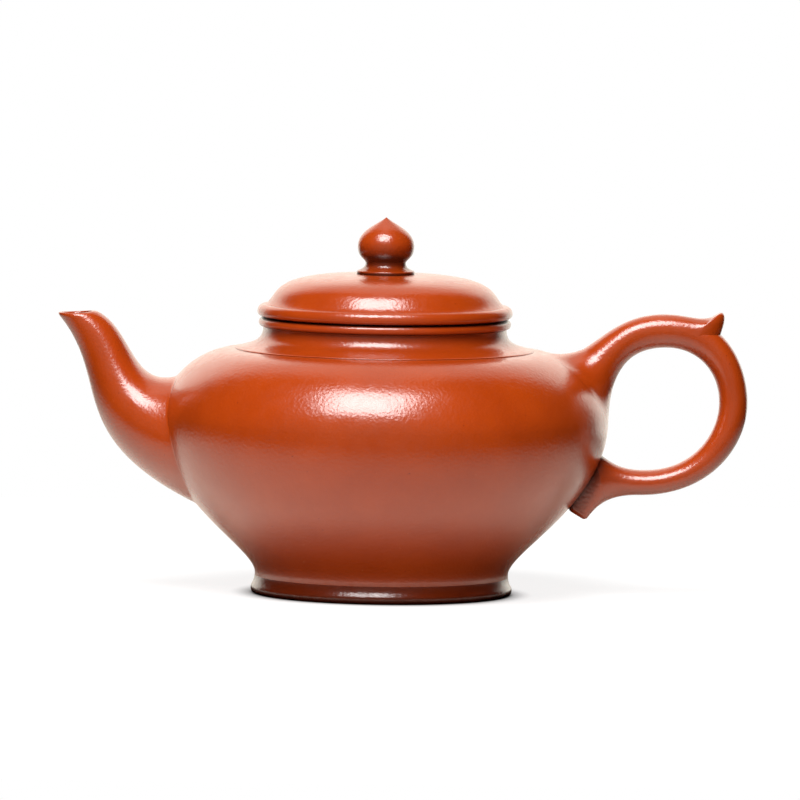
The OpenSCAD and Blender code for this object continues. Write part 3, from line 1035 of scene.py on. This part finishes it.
def handle_loop():
    """The loop, from its filleted root on the belly to where the tail begins."""
    root = rooted(handle[:LOOP_STEPS + 1], LOOP_FILLET, ROOT_ROWS)
    shell = Shell()
    rows = [shell.ring(row) for row in np.vstack([root, handle[LOOP_STEPS + 1:TAIL_START + 1]])]
    shell.join_rows(rows)
    shell.cap(rows[0], onto_belly(root[0].mean(axis=0)) * CAP_SINK)
    shell.cap(rows[-1], handle[TAIL_START].mean(axis=0))
    shell.piece("pot_handle", "handle_loop", "pot", LOFT_SHARP)


def handle_tail():
    """The tail, which lies down the belly and has a rounded end."""
    tail = handle[TAIL_START:]
    middles = tail.mean(axis=1)
    rows_past = np.arange(len(tail)) - (len(tail) - 1 - TAIL_ROUND_ROWS)
    rounding = np.clip(rows_past, 0, TAIL_ROUND_ROWS) / TAIL_ROUND_ROWS
    taper = 1 - TAIL_ROUND * rounding**2
    tail = middles[:, None] + taper[:, None, None] * (tail - middles[:, None])
    shell = Shell()
    rows = [shell.ring(row) for row in tail]
    shell.join_rows(rows)
    shell.cap(rows[0], middles[0])
    shell.cap(rows[-1], middles[-1])
    shell.piece("pot_handle_tail", "handle_tail", "pot", LOFT_SHARP)


thumb_rest()
handle_loop()
handle_tail()

# Studio, in metres: a white table, a white room and a soft box overhead.

scene = bpy.context.scene
scene.view_settings.view_transform = "Standard"

TABLE_CORNERS = [(-0.4, -0.4, 0), (0.4, -0.4, 0), (0.4, 0.25, 0), (-0.4, 0.25, 0)]
TABLE_DROP = 0.0001
TABLE_GREY = (0.3, 0.3, 0.3)
TABLE_GLOW = 0.85
CONTACT_REACH = 0.005
CONTACT_POWER = 2
# Pools of light on the table, which shine on the pot and fade with the distance from a spot.
POOL_COLOUR = (1.3, 1.25, 1.12)
MIRRORED_SPOT = (-0.02, 0.11, 0)
MIRRORED_SPAN = (0.1, 0.255)
SCATTERED_SPOT = (-0.005, -0.09, 0)
SCATTERED_SPAN = (0.06, 0.2)
SCATTERED_LEVEL = 0.5
# Both fade out towards the foot, between these distances from the pot's axis.
FOOT_SPOT = (0, 0, 0)
FOOT_SHADE_SPAN = (0.031, 0.046)


def table_material():
    """White to the camera, with a contact shadow. The pot gets light from two pools on it.

    Gloss mirrors the pool behind the pot. The one in front of it only lights the clay.
    """
    material = bpy.data.materials.new("white_table")
    material.use_nodes = True
    tree = material.node_tree
    tree.nodes.clear()
    ray = tree.nodes.new("ShaderNodeLightPath")
    seen = ray.outputs["Is Camera Ray"]
    places = output(tree, "ShaderNodeTexCoord", "Object")

    mirrored = measure(tree, "DISTANCE", places, MIRRORED_SPOT)
    mirrored = spread(tree, mirrored, MIRRORED_SPAN, (1, 0))
    scattered = measure(tree, "DISTANCE", places, SCATTERED_SPOT)
    scattered = spread(tree, scattered, SCATTERED_SPAN, (SCATTERED_LEVEL, 0))
    pool = blend(tree, ray.outputs["Is Glossy Ray"], scattered, mirrored)
    foot_shade = measure(tree, "DISTANCE", places, FOOT_SPOT)
    foot_shade = spread(tree, foot_shade, FOOT_SHADE_SPAN, (0, 1))
    pool = mix(tree, reckon(tree, "MULTIPLY", pool, foot_shade), BLACK, POOL_COLOUR)
    diffuse = tree.nodes.new("ShaderNodeBsdfDiffuse")
    plug(tree, mix(tree, seen, pool, TABLE_GREY), diffuse.inputs["Color"])

    contact = reckon(tree, "POWER", openness(tree, CONTACT_REACH), CONTACT_POWER)
    glow = tree.nodes.new("ShaderNodeEmission")
    strength = blend(tree, seen, 0, reckon(tree, "MULTIPLY", contact, TABLE_GLOW))
    plug(tree, strength, glow.inputs["Strength"])
    total = tree.nodes.new("ShaderNodeAddShader")
    plug(tree, diffuse.outputs[0], total.inputs[0])
    plug(tree, glow.outputs[0], total.inputs[1])
    surface = tree.nodes.new("ShaderNodeOutputMaterial").inputs["Surface"]
    plug(tree, total.outputs[0], surface)
    return material


floor_mesh = bpy.data.meshes.new("table")
floor_mesh.from_pydata(TABLE_CORNERS, [], [(0, 1, 2, 3)])
floor_mesh.materials.append(table_material())
floor = bpy.data.objects.new("table", floor_mesh)
floor.location.z = -TABLE_DROP
scene.collection.objects.link(floor)

# The room. A span says between which values of a direction's parts its light changes, and levels
# are strengths of light. The light from behind fades to the sides.
ROOM_COLOUR = (1, 0.95, 0.84)
WINDOW_WAY = (-0.2, -0.98, 0)
WINDOW_SPAN = (0.55, 1)
WINDOW_LEVELS = (0.02, 1.5)
SIDE_FADE = 1.2
BACK_LIGHT_SPAN = (0.25, 0.6)
BACK_LIGHT_LEVELS = (0.02, 1)
WALL_SPAN = (-0.1, 0.12)
WALL_LEVELS = (0.01, 1.4)
WALL_TOP_SPAN = (0.48, 0.72)
WALL_TOP_SHARES = (1.25, 0.48)


def studio_room():
    """White to the camera. A window in front and a strip behind light the clay.

    Gloss shows neither. It shows a wide wall behind the pot, which is darker above.
    """
    world = bpy.data.worlds.new("studio")
    scene.world = world
    world.use_nodes = True
    # What the room gives depends on the kind of ray, so it isn't sampled as a lamp.
    world.cycles.sampling_method = "NONE"
    tree = world.node_tree
    tree.nodes.clear()
    ray = tree.nodes.new("ShaderNodeLightPath")
    seen = ray.outputs["Is Camera Ray"]
    heading = output(tree, "ShaderNodeTexCoord", "Generated")
    split = tree.nodes.new("ShaderNodeSeparateXYZ")
    plug(tree, heading, split.inputs[0])

    sideways = reckon(tree, "MULTIPLY", reckon(tree, "ABSOLUTE", split.outputs["X"]), SIDE_FADE)
    behind = reckon(tree, "SUBTRACT", split.outputs["Y"], sideways)
    window = measure(tree, "DOT_PRODUCT", heading, WINDOW_WAY)
    window = spread(tree, window, WINDOW_SPAN, WINDOW_LEVELS)
    back_light = spread(tree, behind, BACK_LIGHT_SPAN, BACK_LIGHT_LEVELS)
    wall = spread(tree, behind, WALL_SPAN, WALL_LEVELS)
    wall_top = spread(tree, split.outputs["Z"], WALL_TOP_SPAN, WALL_TOP_SHARES)
    wall = reckon(tree, "MULTIPLY", wall, wall_top)
    light = blend(tree, ray.outputs["Is Glossy Ray"], reckon(tree, "ADD", window, back_light), wall)

    backdrop = tree.nodes.new("ShaderNodeBackground")
    plug(tree, mix(tree, seen, ROOM_COLOUR, WHITE), backdrop.inputs["Color"])
    plug(tree, blend(tree, seen, light, 1), backdrop.inputs["Strength"])
    plug(tree, backdrop.outputs[0], tree.nodes.new("ShaderNodeOutputWorld").inputs["Surface"])


studio_room()

LAMP_WAY = Vector((-0.12, -0.5, 0.857)).normalized()
LAMP_TARGET = Vector((0, 0, 0.05))
LAMP_DISTANCE = 1.6
LAMP_SIZE = 0.98
LAMP_POWER = 29
lamp = bpy.data.lights.new("overhead", "AREA")
lamp.size = LAMP_SIZE
lamp.energy = LAMP_POWER
soft_box = bpy.data.objects.new("overhead", lamp)
soft_box.location = LAMP_TARGET + LAMP_DISTANCE * LAMP_WAY
soft_box.rotation_euler = LAMP_WAY.to_track_quat("Z", "Y").to_euler()
scene.collection.objects.link(soft_box)

# Camera, with the photograph's slight roll.

SENSOR_WIDTH = 36
CAMERA_DISTANCE = 2.4
CAMERA_REACH = 20
FRAME_WIDTH = 0.18462
TILT = math.radians(4.2)
ROLL = math.radians(0.83)
AIM = Vector((0.00374, 0, 0.0447))
camera = bpy.data.objects.new("camera", bpy.data.cameras.new("camera"))
camera.data.sensor_width = SENSOR_WIDTH
camera.data.lens = SENSOR_WIDTH * CAMERA_DISTANCE / FRAME_WIDTH
camera.data.clip_end = CAMERA_REACH
eye = AIM + CAMERA_DISTANCE * Vector((0, -math.cos(TILT), math.sin(TILT)))
turn = Matrix.Rotation(math.pi / 2 - TILT, 4, "X") @ Matrix.Rotation(ROLL, 4, "Z")
camera.matrix_world = Matrix.Translation(eye) @ turn
scene.collection.objects.link(camera)
scene.camera = camera
